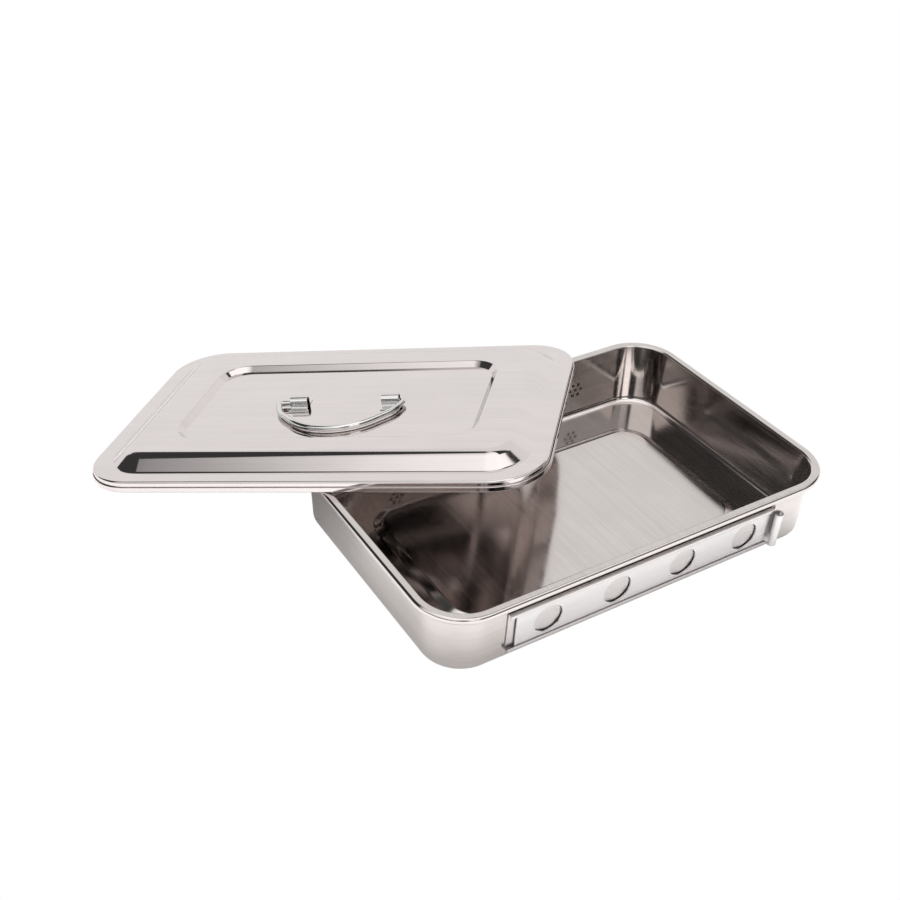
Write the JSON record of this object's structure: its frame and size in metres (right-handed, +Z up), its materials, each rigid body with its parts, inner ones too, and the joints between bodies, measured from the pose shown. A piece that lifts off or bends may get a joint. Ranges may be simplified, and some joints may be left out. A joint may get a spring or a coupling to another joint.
{
  "type": "instrument tray",
  "caption": "Shallow rectangular steel instrument tray with a lift-off cover, a folding bail handle and sliding steam vents in its long walls.",
  "frame": {"origin": "on the table under the middle of the whole object's footprint, tray and laid-off cover together", "axes": "+X along the tray's long walls towards the vents' curled pulls, +Y from the near long wall to the far one, +Z up"},
  "size_m": [0.409, 0.39, 0.0768],
  "materials": {
    "satin_steel": "satin",
    "cover_steel": "fine brushed",
    "vent_steel": "satin",
    "bright_wire": "polished"
  },
  "bodies": {
    "tray": {"tray_pan": "satin_steel", "near_vent_guide": "vent_steel", "far_vent_guide": "vent_steel"},
    "near_slide": {"near_vent_slide": "vent_steel"},
    "far_slide": {"far_vent_slide": "vent_steel"},
    "cover": {"cover": "cover_steel", "cover_left_ear": "cover_steel", "cover_right_ear": "cover_steel"},
    "bail": {"bail_handle": "bright_wire"}
  },
  "joints": [
    {"name": "near_vent_slide_travel", "type": "slide", "parent": "tray", "child": "near_slide", "axis": [1, 0, 0], "range_m": [0, 0.0162]},
    {"name": "far_vent_slide_travel", "type": "slide", "parent": "tray", "child": "far_slide", "axis": [1, 0, 0], "range_m": [0, 0.0162]},
    {"name": "cover_lift", "type": "slide", "parent": "tray", "child": "cover", "axis": [0, 0, 1], "range_m": [0, 0.15]},
    {"name": "bail_hinge", "type": "hinge", "parent": "cover", "child": "bail", "pos_m": [-0.03985, 0.03236, 0.04877], "axis": [-0.7587, 0.6312, -0.1612], "range_deg": [0, 181]}
  ]
}
